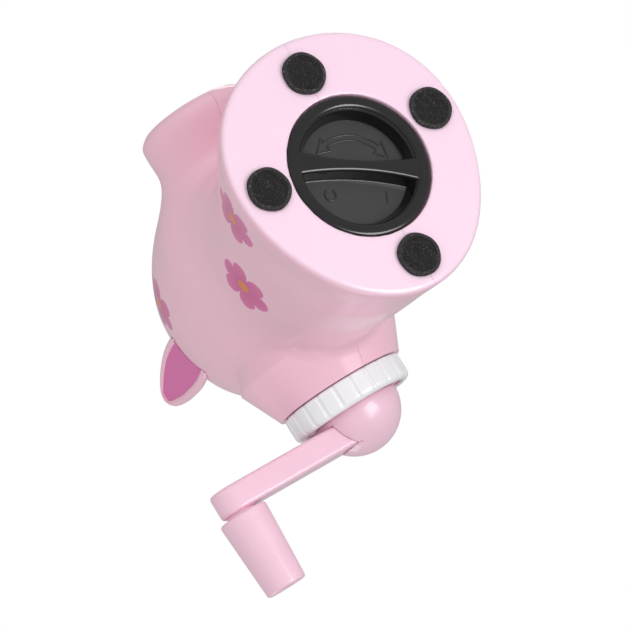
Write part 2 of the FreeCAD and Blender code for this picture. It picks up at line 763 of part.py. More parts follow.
turned_on_pin("grip_pin", [
    ("-grip_end + 1.2", "0"),
    ("-grip_end + 1.2", "5.2"),
    ("-grip_end + 2.4", "5.2"),
    ("-grip_end + 2.4", "grip_pin_radius - 0.02"),
    ("-arm_inner - 0.6", "grip_pin_radius - 0.02"),
    ("-arm_inner - 0.6", "0"),
])
turned_on_pin("crank_grip", [
    ("-grip_end", "6.4"),
    ("-grip_end", "grip_tip_radius - 0.7"),
    ("-grip_end + 0.7", "grip_tip_radius"),
    ("-grip_start - 0.8", "grip_root_radius"),
    ("-grip_start", "grip_root_radius - 0.8"),
    ("-grip_start", "grip_pin_radius + grip_bore_clearance"),
    ("-grip_end + 2.8", "grip_pin_radius + grip_bore_clearance"),
    ("-grip_end + 2.8", "6.4"),
])
turned_on_pin("grip_washer", [
    ("-grip_start + 0.15", "grip_pin_radius"),
    ("-grip_start + 0.15", "7.5"),
    ("-arm_outer", "7.5"),
    ("-arm_outer", "grip_pin_radius"),
])

# ---------------------------------------------------------------- twist plug
# A cup-shaped plug: flat rim, deep floor, waisted grip bar and bayonet lugs.
plug_bottom = size("plug_face")
plug_floor = plug_bottom + size("plug_recess_depth")
plug_profile = [
    (0.0, plug_floor),
    (size("plug_floor_radius") - 1.2, plug_floor),
    (size("plug_floor_radius"), plug_floor - 1.0),
    (size("plug_lip_radius"), plug_bottom + 0.9),
    (size("plug_lip_radius") + 0.7, plug_bottom),
    (size("plug_radius") - 1.4, plug_bottom),
    (size("plug_radius") - 0.4, plug_bottom + 0.4),
    (size("plug_radius"), plug_bottom + 1.4),
    (size("plug_radius"), floor_top - 0.9),
    (size("plug_radius") - 0.9, floor_top - 0.9),
    (size("plug_radius") - 0.9, floor_top - 0.3),
    (size("plug_body_radius") + 0.2, floor_top - 0.3),
    (size("plug_body_radius"), floor_top),
    (size("plug_body_radius"), size("plug_top")),
    (size("plug_body_radius") - size("plug_wall"), size("plug_top")),
    (size("plug_body_radius") - size("plug_wall"), plug_floor + size("plug_wall")),
    (0.0, plug_floor + size("plug_wall")),
]
plug_points = [Vector(r, 0, z) for r, z in plug_profile]
plug_face = Part.Face(Part.makePolygon(plug_points + [plug_points[0]]))
plug_cup = plug_face.revolve(Vector(0, 0, 0), Z_AXIS, 360)


def bar_wire(height, wider):
    """The grip bar's outline: two bowed sides that pinch at the middle."""
    half = size("plug_bar_reach")
    waist = size("plug_bar_waist") + wider
    end = size("plug_bar_end") + wider
    corners = [(-half, end / 2), (half, end / 2), (half, -end / 2), (-half, -end / 2)]
    places = [Vector(along, across, height) for along, across in corners]
    left_side = Part.Arc(places[0], Vector(0, waist / 2, height), places[1])
    first_end = Part.LineSegment(places[1], places[2])
    right_side = Part.Arc(places[2], Vector(0, -waist / 2, height), places[3])
    second_end = Part.LineSegment(places[3], places[0])
    return Part.Wire([edge.toShape() for edge in (left_side, first_end, right_side, second_end)])


bar_bottom = plug_bottom + size("plug_bar_recess")
bar = Part.makeLoft([
    bar_wire(bar_bottom, 0.0),
    bar_wire(plug_floor + 0.5, size("plug_bar_draft")),
], True, True)
bar.rotate(Vector(0, 0, 0), Z_AXIS, size("plug_bar_angle"))
bar_limit = Part.makeCone(
    size("plug_lip_radius") + 2.0,
    size("plug_floor_radius") + 2.0,
    plug_floor + 0.5 - bar_bottom,
    Vector(0, 0, bar_bottom),
)
bar = bar.common(bar_limit)
lug_low = notch_top + size("lug_clearance")
lugs = plug_lug_shapes(
    size("lug_radius"), size("plug_body_radius") - 1.0, lug_low, lug_low + size("lug_thickness"),
    LUG_SPREAD, LUG_TURN,
)
plug = plug_cup.fuse([bar] + lugs)
plug_feature = doc.addObject("Part::Feature", "base_plug_form")
plug_feature.Shape = plug
finish_node(plug_feature, "base_plug")

turned_body("plug_gasket", [
    ("plug_radius - 0.85", "{0} - 0.9".format(floor_top)),
    ("plug_radius - 0.05", "{0} - 0.9".format(floor_top)),
    ("plug_radius - 0.05", "{0} - 0.08".format(floor_top)),
    ("plug_radius - 0.85", "{0} - 0.08".format(floor_top)),
], on_crank_line=False)

# ---------------------------------------------------------------- feet
PAD_PLACES = {
    "front_foot_pad": ("end_pad_distance", "0"),
    "rear_foot_pad": ("-end_pad_distance", "0"),
    "left_foot_pad": ("side_pad_forward", "side_pad_distance"),
    "right_foot_pad": ("side_pad_forward", "-side_pad_distance"),
}
for label, (x, y) in PAD_PLACES.items():
    pad = disc_pad(label, "pad_diameter / 2", "pad_thickness")
    bind(pad, ".Placement.Base.x", x)
    bind(pad, ".Placement.Base.y", y)

# ---------------------------------------------------------------- food pusher
flange_low = chute_top + 0.1
slider_rear = "chute_centre - chute_length / 2 + pusher_clearance"
slider_right = "-chute_width / 2 + pusher_clearance"
slider = box(
    "pusher_slider", "chute_length - 2 * pusher_clearance", "chute_width - 2 * pusher_clearance",
    "{0} - pusher_bottom + 0.01".format(flange_low), (slider_rear, slider_right, "pusher_bottom"),
)
pusher_flange_plate = box(
    "pusher_flange_plate", "pusher_flange_length", "pusher_flange_width", "pusher_flange",
    ("chute_centre - pusher_flange_length / 2", "-pusher_flange_width / 2", str(flange_low)),
)
pusher_solid = fuse("pusher_solid", [slider, pusher_flange_plate])
pusher_hollow = box(
    "pusher_hollow", "chute_length - 2 * pusher_clearance - 2 * pusher_wall",
    "chute_width - 2 * pusher_clearance - 2 * pusher_wall", "rim_height - pusher_bottom + 10",
    (slider_rear + " + pusher_wall", slider_right + " + pusher_wall", "pusher_bottom + pusher_wall"),
)
finish_node(cut("food_pusher_form", pusher_solid, pusher_hollow), "food_pusher")
cap_low = flange_low + size("pusher_flange")
pusher_cap = box(
    "pusher_cap_plate", "pusher_flange_length - 4", "pusher_flange_width - 4", "pusher_cap",
    ("chute_centre - pusher_flange_length / 2 + 2", "-pusher_flange_width / 2 + 2", str(cap_low)),
)
finish_node(pusher_cap, "pusher_cap")

# ---------------------------------------------------------------- checks and files
doc.recompute()
for item in doc.Objects:
    if "Invalid" in item.State or "Error" in item.State:
        raise RuntimeError("failed object: " + item.Label + " " + str(item.State))
os.makedirs("parts", exist_ok=True)
for node in NODES:
    shape = node.Shape
    if shape.isNull() or not shape.isValid():
        raise RuntimeError("bad shape: " + node.Label)
for node in NODES:
    node.Shape.exportStep("parts/" + node.Label + ".step")
    bounds = node.Shape.BoundBox
    print("%-18s solids %d volume %9.1f  x %7.1f %7.1f  y %7.1f %7.1f  z %7.1f %7.1f" % (
        node.Label, len(node.Shape.Solids), node.Shape.Volume, bounds.XMin, bounds.XMax,
        bounds.YMin, bounds.YMax, bounds.ZMin, bounds.ZMax))
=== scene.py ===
import bpy
import math
import numpy as np
from mathutils import Matrix, Vector


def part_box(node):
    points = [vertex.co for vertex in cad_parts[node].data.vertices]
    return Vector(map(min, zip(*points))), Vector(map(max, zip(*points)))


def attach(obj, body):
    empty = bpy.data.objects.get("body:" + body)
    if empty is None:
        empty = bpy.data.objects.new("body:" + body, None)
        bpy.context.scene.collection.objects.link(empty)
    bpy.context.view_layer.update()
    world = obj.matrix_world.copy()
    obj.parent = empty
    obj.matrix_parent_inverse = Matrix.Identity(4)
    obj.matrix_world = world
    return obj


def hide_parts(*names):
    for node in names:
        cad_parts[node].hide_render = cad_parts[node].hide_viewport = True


# Looks of a hand-cranked rotary cheese grater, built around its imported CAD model.
# Frame: +Z up, +X towards the outlet, -X towards the crank, origin under the twist plug.
# Forms are worked out in millimetres as implicit fields (negative inside the material),
# and every mesh is turned into metres when it is made.

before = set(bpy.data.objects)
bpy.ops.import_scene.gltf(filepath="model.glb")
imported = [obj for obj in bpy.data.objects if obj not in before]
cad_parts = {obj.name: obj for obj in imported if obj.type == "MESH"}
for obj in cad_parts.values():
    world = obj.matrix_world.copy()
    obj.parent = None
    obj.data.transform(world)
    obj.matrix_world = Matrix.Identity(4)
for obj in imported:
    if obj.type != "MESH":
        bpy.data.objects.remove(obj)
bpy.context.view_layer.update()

MM = 0.001


def extent(node):
    """Lowest and highest corner of a CAD node in millimetres."""
    low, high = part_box(node)
    return np.array(low) / MM, np.array(high) / MM


X, Y, Z = 0, 1, 2
AXIS_HEIGHT = (extent("locking_ring")[0][Z] + extent("locking_ring")[1][Z]) / 2


# ---------------------------------------------------------------- field arithmetic
def join(a, b, blend):
    """Union of two fields with a rounded inner corner."""
    share = np.clip(0.5 + 0.5 * (b - a) / blend, 0, 1)
    return b + (a - b) * share - blend * share * (1 - share)


def trim(a, b, blend):
    """Intersection of two fields with a rounded outer edge."""
    return -join(-a, -b, blend)


def highest(*fields):
    """Sharp intersection of fields."""
    result = fields[0]
    for field in fields[1:]:
        result = np.maximum(result, field)
    return result


def lowest(*fields):
    """Sharp union of fields."""
    result = fields[0]
    for field in fields[1:]:
        result = np.minimum(result, field)
    return result


def slab(value, low, high):
    """Negative between two levels of one coordinate."""
    return np.maximum(low - value, value - high)


def rounded_plate(x, y, z, centre, size, low, high, corner, edge):
    """A flat plate with rounded corners in plan and softened edges."""
    across = [np.abs(v - c) - s / 2 + corner for v, c, s in zip((x, y), centre, size)]
    outside = np.hypot(np.maximum(across[0], 0), np.maximum(across[1], 0))
    plan = outside + np.minimum(np.maximum(across[0], across[1]), 0) - corner
    return trim(plan, slab(z, low, high), edge)


def crank_radius(y, z):
    """Distance from the crank line."""
    return np.hypot(y, z - AXIS_HEIGHT)


def taper(value, start, start_radius, end, end_radius):
    """Radius of a cone by its place along one axis, and the factor that makes it a distance."""
    slope = (end_radius - start_radius) / (end - start)
    radius = start_radius + slope * (value - start)
    return radius, 1 / math.hypot(1, slope)


class Spline:
    """Natural cubic curve through a column of a table, with its slope."""

    def __init__(self, places, values):
        self.places = np.array(places, float)
        self.values = np.array(values, float)
        gaps = np.diff(self.places)
        count = len(self.places)
        matrix = np.eye(count)
        right = np.zeros(count)
        for i in range(1, count - 1):
            matrix[i, i - 1:i + 2] = gaps[i - 1], 2 * (gaps[i - 1] + gaps[i]), gaps[i]
            rises = np.diff(self.values)[i - 1:i + 1] / gaps[i - 1:i + 1]
            right[i] = 6 * (rises[1] - rises[0])
        self.bends = np.linalg.solve(matrix, right)

    def _span(self, place):
        place = np.clip(place, self.places[0], self.places[-1])
        index = np.clip(np.searchsorted(self.places, place) - 1, 0, len(self.places) - 2)
        gap = self.places[index + 1] - self.places[index]
        return index, gap, (place - self.places[index]) / gap

    def at(self, place):
        """Value of the curve."""
        index, gap, share = self._span(place)
        rest = 1 - share
        chord = self.values[index] * rest + self.values[index + 1] * share
        bow = (rest ** 3 - rest) * self.bends[index] + (share ** 3 - share) * self.bends[index + 1]
        return chord + gap * gap / 6 * bow

    def slope(self, place):
        """Slope of the curve."""
        index, gap, share = self._span(place)
        rest = 1 - share
        chord = (self.values[index + 1] - self.values[index]) / gap
        bow = (1 - 3 * rest * rest) * self.bends[index] + (3 * share * share - 1) * self.bends[index + 1]
        return chord + gap / 6 * bow


# ---------------------------------------------------------------- meshes from fields
def gradient(field, points, reach=0.05):
    """Unit normals of a field at an array of points."""
    columns = []
    for axis in range(3):
        step = np.zeros(3)
        step[axis] = reach
        columns.append(field(*(points + step).T) - field(*(points - step).T))
    normals = np.stack(columns, axis=1)
    return normals / np.maximum(np.linalg.norm(normals, axis=1, keepdims=True), 1e-9)


def crossing_points(field, starts, axis, step, start_inside):
    """Where the surface cuts each grid edge, by bisection."""
    near = np.zeros(len(starts))
    far = np.ones(len(starts))
    for _ in range(9):
        middle = (near + far) / 2
        points = starts.copy()
        points[:, axis] += step * middle
        same = (field(*points.T) < 0) == start_inside
        near = np.where(same, middle, near)
        far = np.where(same, far, middle)
    points = starts.copy()
    points[:, axis] += step * (near + far) / 2
    return points


def contour(field, low, high, step):
    """Dual contour of a field: vertices that keep creases sharp, and the quads between them."""
    origin = np.array(low, float)
    counts = np.ceil((np.array(high) - origin) / step).astype(int) + 1
    axes = [origin[a] + step * np.arange(counts[a]) for a in range(3)]
    inside = field(*np.meshgrid(*axes, indexing="ij")) < 0
    cells = tuple(counts - 1)
    corners, quads, points, normals = [], [], [], []
    for axis in range(3):
        side_a, side_b = (axis + 1) % 3, (axis + 2) % 3
        turned = np.moveaxis(inside, axis, 0)
        changed = np.argwhere(np.moveaxis(turned[:-1] != turned[1:], 0, axis))
        for side in (side_a, side_b):
            changed = changed[(changed[:, side] > 0) & (changed[:, side] < cells[side])]
        start_inside = inside[tuple(changed.T)]
        crossing = crossing_points(field, origin + step * changed, axis, step, start_inside)
        around = []
        for shift_a, shift_b in ((-1, -1), (0, -1), (0, 0), (-1, 0)):
            cell = changed.copy()
            cell[:, side_a] += shift_a
            cell[:, side_b] += shift_b
            around.append(np.ravel_multi_index(tuple(cell.T), cells))
        quad = np.stack(around, axis=1)
        quad[~start_inside] = quad[~start_inside][:, ::-1]
        quads.append(quad)
        points.append(np.repeat(crossing, 4, axis=0))
        normals.append(np.repeat(gradient(field, crossing), 4, axis=0))
        corners.append(np.stack(around, axis=1).reshape(-1))
    quads = np.concatenate(quads)
    corners, points, normals = map(np.concatenate, (corners, points, normals))
    used, index = np.unique(corners, return_inverse=True)
    hits = np.bincount(index)
    middle = np.stack([np.bincount(index, points[:, a]) / hits for a in range(3)], axis=1)
    offset = np.einsum("ij,ij->i", normals, points - middle[index])
    pull = 0.02
    system = np.zeros((len(used), 3, 3))
    right = np.zeros((len(used), 3))
    for i in range(3):
        right[:, i] = np.bincount(index, normals[:, i] * offset)
        for j in range(3):
            system[:, i, j] = np.bincount(index, normals[:, i] * normals[:, j])
        system[:, i, i] += pull
    vertices = middle + np.linalg.solve(system, right[:, :, None])[:, :, 0]
    cell_low = origin + step * np.stack(np.unravel_index(used, cells), axis=1)
    vertices = np.clip(vertices, cell_low, cell_low + step)
    return vertices, np.searchsorted(used, quads)


def mesh_object(name, vertices, faces, normals=None):
    """A smooth mesh object from millimetre vertices."""
    mesh = bpy.data.meshes.new(name)
    mesh.from_pydata((vertices * MM).tolist(), [], faces.tolist())
    mesh.polygons.foreach_set("use_smooth", [True] * len(mesh.polygons))
    if normals is not None:
        mesh.normals_split_custom_set(normals.tolist())
    piece = bpy.data.objects.new(name, mesh)
    bpy.context.scene.collection.objects.link(piece)
    return piece


def carve(name, field, low, high, step, mirrored=False):
    """A mesh piece from a field; mirrored makes its twin across the X-Z plane."""
    start = np.array(low, float) - 0.37 * step
    vertices, quads = contour(field, start, np.array(high) + step, step)
    centres = vertices[quads].mean(axis=1, keepdims=True)
    corners = vertices[quads] * 0.75 + centres * 0.25
    normals = gradient(field, corners.reshape(-1, 3))
    if not mirrored:
        return mesh_object(name, vertices, quads, normals)
    flip = np.array([1, -1, 1])
    normals = (normals * flip).reshape(-1, 4, 3)[:, ::-1].reshape(-1, 3)
    return mesh_object(name, vertices * flip, quads[:, ::-1], normals)


def carve_node(name, node, field, step):
    """A piece that stands for a CAD node, carved within that node's box."""
    low, high = extent(node)
    return carve(name, field, low - step, high + step, step)


# ---------------------------------------------------------------- body shells
BODY_SECTIONS = [
    # height, front, back, half width, fullness of the front corners
    (2.2, 63.4, 61.2, 58.0, 1.5),
    (6.0, 63.0, 61.0, 57.7, 1.5),
    (20.0, 58.4, 59.8, 54.6, 1.9),
    (40.0, 51.0, 58.4, 50.3, 1.8),
    (60.0, 46.4, 56.8, 46.2, 1.4),
    (80.0, 45.8, 55.4, 43.2, 0.9),
    (96.0, 50.4, 54.8, 41.6, 0.3),
    (112.0, 56.0, 55.2, 41.6, 0.0),
    (128.0, 61.4, 56.0, 42.4, 0.0),
    (146.0, 60.2, 55.8, 42.2, 0.0),
    (162.0, 56.4, 54.0, 40.8, 0.0),
    (177.0, 51.6, 50.0, 38.0, 0.0),
    (189.0, 46.6, 44.5, 34.6, 0.0),
    (198.0, 42.4, 38.5, 31.0, 0.0),
    (203.5, 38.8, 33.2, 27.6, 0.0),
    (206.0, 36.4, 29.8, 25.2, 0.0),
]
SNOUT_SECTIONS = [
    # distance back from the snout's end, radius as a share of the lip, rise above the mouth
    (52.0, 1.16, 17.0),
    (42.0, 1.05, 15.5),
    (34.0, 0.965, 12.8),
    (26.0, 0.925, 9.4),
    (18.0, 0.93, 5.0),
    (10.0, 0.985, 1.4),
    (5.5, 1.0, 0.2),
    (2.2, 0.965, 0.0),
    (0.0, 0.875, 0.0),
]
SHELL_STEP = 1.4
WALL = 2.6
FOOT = extent("front_foot_pad")[1][Z]
FLOOR_TOP = FOOT + 3.0
RIM = 206.0
SNOUT_END = extent("left_body_shell")[1][X]
SNOUT_LIP = 28.8
MOUTH_HEIGHT = 112.0
BARREL_END = 65.0
BARREL_ROOT = 45.0
BARREL_END_RADIUS = 32.5
BARREL_ROOT_RADIUS = 41.8
PARTING_GAP = 0.06
STORAGE_TOP = 84.0
UPPER_FLOOR = 86.4
FLANGE_RADIUS = 36.25
FLANGE_THICKNESS = 3.0
PLUG_OPENING = 33.25
FLANGE_OPENING = 29.9
OPENING_TOP = 22.0
HOUSING_RADIUS = 27.8
HOUSING_FRONT = 32.0
HOUSING_ROOM = 0.3
CHUTE_CENTRE = 4.0
CHUTE_HALF_LENGTH = 24.2
CHUTE_HALF_WIDTH = 19.2
SPOUT_LENGTH = 42.5
SPOUT_DROP = 19.0
SPOUT_NARROWING = 5.2
SPOUT_INSET = 0.8

heights, fronts, backs, widths, fullnesses = zip(*BODY_SECTIONS)
front_curve = Spline(heights, fronts)
back_curve = Spline(heights, backs)
width_curve = Spline(heights, widths)
fullness_curve = Spline(heights, fullnesses)


def stack_reach(turn, front, back, width, fullness):
    """Outline radius at an angle, as a short cosine series of the four reaches."""
    third = -fullness
    mean = ((front + back) / 2 + width) / 2
    second = ((front + back) / 2 - width) / 2
    first = (front - back) / 2 - third
    return mean + first * np.cos(turn) + second * np.cos(2 * turn) + third * np.cos(3 * turn)


def stack_field(x, y, z):
    """The stacked body outline, without its ends."""
    turn = np.arctan2(y, x)
    curves = (front_curve, back_curve, width_curve, fullness_curve)
    reach = stack_reach(turn, *[curve.at(z) for curve in curves])
    slope = stack_reach(turn, *[curve.slope(z) for curve in curves])
    return (np.hypot(x, y) - reach) / np.sqrt(1 + slope * slope)


def barrel_field(x, y, z, inset=0.0):
    """The barrel round the crank line: it widens to its root, then sinks into the body."""
    radius, lean = taper(x, -BARREL_END, BARREL_END_RADIUS, -BARREL_ROOT, BARREL_ROOT_RADIUS)
    sinking = BARREL_ROOT_RADIUS + 0.5 - 0.45 * (x + BARREL_ROOT)
    side = (crank_radius(y, z) - join(radius, sinking, 1.0)) * lean
    return highest(side + inset, -BARREL_END - x, x)


snout_places = [SNOUT_END - row[0] for row in SNOUT_SECTIONS]
snout_radius = Spline(snout_places, [row[1] * SNOUT_LIP for row in SNOUT_SECTIONS])
snout_rise = Spline(snout_places, [row[2] for row in SNOUT_SECTIONS])


def snout_field(x, y, z):
    """The outlet snout with its rolled lip."""
    away = np.hypot(y, z - MOUTH_HEIGHT - snout_rise.at(x))
    slope = snout_radius.slope(x)
    side = (away - snout_radius.at(x)) / np.sqrt(1 + slope * slope)
    return highest(side, x - SNOUT_END, snout_places[0] - x)


def skin_field(x, y, z):
    """The whole outer skin, with soft valleys where the barrel and the snout leave the body."""
    body = join(stack_field(x, y, z), barrel_field(x, y, z), 4.0)
    body = join(body, snout_field(x, y, z), 9.0)
    body = trim(body, FOOT - z, 3.2)
    return trim(body, z - RIM, 1.8)


def rooms_field(x, y, z):
    """The storage room in the pedestal and the room round the drum housing."""
    inner = stack_field(x, y, z) + WALL
    storage = highest(inner, slab(z, FLOOR_TOP, STORAGE_TOP))
    upper = highest(inner, slab(z, UPPER_FLOOR, RIM - WALL))
    barrel = highest(barrel_field(x, y, z, WALL), UPPER_FLOOR - z, WALL - BARREL_END - x)
    return lowest(storage, upper, barrel)


def housing_field(x, y, z):
    """The drum housing, its chute and its spout, grown by a clearance.
    The spout's own wall fills the rest, so its room is drawn a little inside that wall."""
    bore = highest(crank_radius(y, z) - HOUSING_RADIUS - HOUSING_ROOM, x - HOUSING_FRONT)
    along = np.abs(x - CHUTE_CENTRE) - CHUTE_HALF_LENGTH - HOUSING_ROOM
    across = np.abs(y) - CHUTE_HALF_WIDTH - HOUSING_ROOM
    chute = highest(along, across, AXIS_HEIGHT - z)
    share = (x - HOUSING_FRONT) / SPOUT_LENGTH
    away = np.hypot(y, z - AXIS_HEIGHT + SPOUT_DROP * share)
    spout = away - HOUSING_RADIUS + SPOUT_NARROWING * share + SPOUT_INSET
    spout = highest(spout, HOUSING_FRONT - 1 - x)
    return lowest(bore, chute, spout)


def shell_field(x, y, z):
    """One half of the body: skin, rooms, plug opening and the parting face."""
    body = highest(skin_field(x, y, z), -rooms_field(x, y, z))
    around = np.hypot(x, y)
    flange = highest(around - FLANGE_RADIUS, slab(z, FLOOR_TOP, FLOOR_TOP + FLANGE_THICKNESS))
    body = lowest(body, flange)
    recess = highest(around - PLUG_OPENING, z - FLOOR_TOP)
    passage = highest(around - FLANGE_OPENING, z - OPENING_TOP)
    body = trim(body, -lowest(recess, passage), 0.8)
    body = highest(body, -housing_field(x, y, z))
    return highest(body, PARTING_GAP - y)


def make_shells():
    """Both halves of the body."""
    low, high = extent("left_body_shell")
    low = np.array([low[X], 0.0, low[Z]])
    for name, mirrored in (("left_body_skin", False), ("right_body_skin", True)):
        shell = carve(name, shell_field, low - 1, high + 1, SHELL_STEP, mirrored)
        finish_piece(shell, "body", "body_pink", body_pink, name.replace("skin", "shell"))


# ---------------------------------------------------------------- twist plug
PLUG_FACE = extent("base_plug")[0][Z]
PLUG_RADIUS = 32.8
PLUG_FLOOR = PLUG_FACE + 7.7
PLUG_LIP = 27.6
PLUG_FLOOR_RADIUS = 24.2
PLUG_RIM_BACK = 4.3
PLUG_CUP_RADIUS = 29.4
PLUG_CUP_TOP = 14.0
PLUG_CUP_BORE = 27.2
PLUG_WEB = 2.2
BAR_TURN = math.radians(118.3)
BAR_REACH = 29.0
BAR_WAIST = 2.3
BAR_FLARE = 3.7
BAR_FLARE_LENGTH = 31.0
BAR_DRAFT = 0.2
BAR_RECESS = 0.3


def plug_frame(x, y):
    """Coordinates along and across the grip bar."""
    along = x * math.cos(BAR_TURN) + y * math.sin(BAR_TURN)
    across = -x * math.sin(BAR_TURN) + y * math.cos(BAR_TURN)
    return along, across


def plug_field(x, y, z):
    """Flat rim, steep wall, deep floor and the waisted grip bar across it."""
    around = np.hypot(x, y)
    rim = trim(around - PLUG_RADIUS, slab(z, PLUG_FACE, PLUG_RIM_BACK), 2.0)
    body = highest(around - PLUG_CUP_RADIUS, slab(z, PLUG_RIM_BACK - 0.3, PLUG_CUP_TOP))
    wall, lean = taper(z, PLUG_FACE, PLUG_LIP, PLUG_FLOOR, PLUG_FLOOR_RADIUS)
    cavity = highest((around - wall) * lean, z - PLUG_FLOOR)
    cup = trim(lowest(rim, body), -cavity, 1.3)
    cup = highest(cup, -highest(around - PLUG_CUP_BORE, PLUG_FLOOR + PLUG_WEB - z))
    along, across = plug_frame(x, y)
    depth = z - PLUG_FACE
    half = BAR_WAIST + BAR_FLARE * (along / BAR_FLARE_LENGTH) ** 2 + BAR_DRAFT * depth
    bar = trim(np.abs(across) - half, slab(z, PLUG_FACE + BAR_RECESS, PLUG_FLOOR + 1.0), 1.3)
    bar = highest(bar, around - BAR_REACH)
    return join(cup, bar, 0.5)


MARK_RAISE = 0.4
MARK_LINE = 0.36
ARROW_RADIUS = 20.0
ARROW_CENTRE = -4.0
ARROW_SPREAD = math.radians(37.0)
ARROW_HALF_WIDTH = 1.2
HEAD_HALF_WIDTH = 3.4
HEAD_SPREAD = math.radians(18.0)
RING_MARK = (-12.0, -11.5)
RING_MARK_RADIUS = 2.5
BAR_MARK_TOP = (14.0, -9.0)
BAR_MARK_FOOT = (14.0, -14.0)


def segment_distance(u, v, start, end):
    """Distance in the plane to a straight line between two points."""
    du, dv = end[0] - start[0], end[1] - start[1]
    share = ((u - start[0]) * du + (v - start[1]) * dv) / (du * du + dv * dv)
    share = np.clip(share, 0, 1)
    return np.hypot(u - start[0] - share * du, v - start[1] - share * dv)


def arrow_point(radius, turn):
    """A point at a radius and a turn round the arrow's own centre."""
    return radius * math.sin(turn), ARROW_CENTRE + radius * math.cos(turn)


def arrow_outline(u, v):
    """Distance to the outline of a bent double-headed arrow."""
    turn = np.arctan2(u, v - ARROW_CENTRE)
    away = np.hypot(u, v - ARROW_CENTRE)
    past_end = away * np.sin(np.clip(np.abs(turn) - ARROW_SPREAD, 0, math.pi / 2))
    lines = []
    for side in (-ARROW_HALF_WIDTH, ARROW_HALF_WIDTH):
        lines.append(np.hypot(past_end, away - ARROW_RADIUS - side))
    for way in (-1, 1):
        neck_turn = way * ARROW_SPREAD
        tip = arrow_point(ARROW_RADIUS, neck_turn + way * HEAD_SPREAD)
        for side in (-1, 1):
            neck = arrow_point(ARROW_RADIUS + side * ARROW_HALF_WIDTH, neck_turn)
            barb = arrow_point(ARROW_RADIUS + side * HEAD_HALF_WIDTH, neck_turn)
            lines.append(segment_distance(u, v, barb, tip))
            lines.append(segment_distance(u, v, neck, barb))
    return lowest(*lines)


def marks_field(x, y, z):
    """Raised marks on the plug's floor: a bent double arrow, a ring and a bar."""
    along, across = plug_frame(x, y)
    across = -across
    arrow = arrow_outline(along, across)
    ring = np.abs(np.hypot(along - RING_MARK[0], across - RING_MARK[1]) - RING_MARK_RADIUS)
    bar = segment_distance(along, across, BAR_MARK_TOP, BAR_MARK_FOOT)
    lines = lowest(arrow, ring, bar) - MARK_LINE
    return trim(lines, slab(z, PLUG_FLOOR - MARK_RAISE, PLUG_FLOOR + MARK_RAISE), 0.2)


def make_plug():
    """The twist plug and the raised marks on its floor."""
    plug = carve_node("twist_plug", "base_plug", plug_field, 0.62)
    finish_piece(plug, "plug", "plug_black", plug_black, "base_plug")
    low = (-PLUG_FLOOR_RADIUS, -PLUG_FLOOR_RADIUS, PLUG_FLOOR - 0.6)
    high = (PLUG_FLOOR_RADIUS, PLUG_FLOOR_RADIUS, PLUG_FLOOR + 0.6)
    marks = carve("plug_turn_marks", marks_field, low, high, 0.22)
    finish_piece(marks, "plug", "plug_black", plug_black)


# ---------------------------------------------------------------- locking ring
RING_GROOVES = 22
RING_RADIUS = 30.9
GROOVE_RADIUS = 1.15
GROOVE_OFFSET = 0.5
RING_BORE_RADIUS = 28.3
RING_LIP = 1.3
RING_LIP_RADIUS = 26.4


def ring_field(x, y, z):
    """The fluted ring: its bore takes the housing's neck, and its lip holds the cover plate."""
    low, high = extent("locking_ring")
    around = crank_radius(y, z)
    pitch = 2 * math.pi / RING_GROOVES
    turn = np.arctan2(y, z - AXIS_HEIGHT)
    nearest = (turn + pitch / 2) % pitch - pitch / 2
    sideways = around * np.sin(nearest)
    outward = around * np.cos(nearest) - RING_RADIUS - GROOVE_OFFSET
    groove = np.hypot(sideways, outward) - GROOVE_RADIUS
    side = trim(around - RING_RADIUS, -groove, 0.5)
    ends = trim(side, low[X] - x, 3.4)
    ends = trim(ends, x - high[X], 1.4)
    bore = trim(around - RING_BORE_RADIUS, low[X] + RING_LIP - x, 0.8)
    hole = lowest(bore, around - RING_LIP_RADIUS)
    return trim(ends, -hole, 0.7)


def make_ring():
    ring = carve_node("fluted_ring", "locking_ring", ring_field, 0.7)
    finish_piece(ring, "ring", "ring_white", ring_white, "locking_ring")


# ---------------------------------------------------------------- crank
ARM_REACH = 76.5
ARM_OUTER = 92.6
ARM_INNER = 80.0
ARM_ROOT_RADIUS = 10.5
ARM_NARROWING = 1.1
PIN_RADIUS = 3.0
SHAFT_RADIUS = 4.0
DOME_FACE = -77.2
DOME_RADIUS = 22.2
DOME_BORE = 20.2
GRIP_END = -133.0
GRIP_END_RADIUS = 9.9
GRIP_ROOT = -93.9
GRIP_ROOT_RADIUS = 12.0
GRIP_RECESS = -130.2
GRIP_RECESS_RADIUS = 6.4


def arm_field(x, y, z):
    """A flat tapered arm with full round ends and softened edges."""
    along = np.clip(-y / ARM_REACH, 0, 1)
    radius = ARM_ROOT_RADIUS - ARM_NARROWING * along
    side = np.hypot(y + ARM_REACH * along, z - AXIS_HEIGHT) - radius
    plate = trim(side, slab(x, -ARM_OUTER, -ARM_INNER), 2.2)
    pin = np.hypot(y + ARM_REACH, z - AXIS_HEIGHT) - PIN_RADIUS
    shaft = crank_radius(y, z) - SHAFT_RADIUS
    return highest(plate, -pin, -shaft)


def dome_field(x, y, z):
    """Half a hollow ball over the hub, with a window for the arm."""
    ball = np.sqrt((x - DOME_FACE) ** 2 + y ** 2 + (z - AXIS_HEIGHT) ** 2)
    shell = trim(ball - DOME_RADIUS, x - DOME_FACE, 0.9)
    shell = highest(shell, DOME_BORE - ball)
    along = slab(x, -ARM_OUTER - 0.05, -ARM_INNER + 0.05)
    window = highest(along, y, np.abs(z - AXIS_HEIGHT) - ARM_ROOT_RADIUS - 0.05)
    return trim(shell, -window, 0.5)


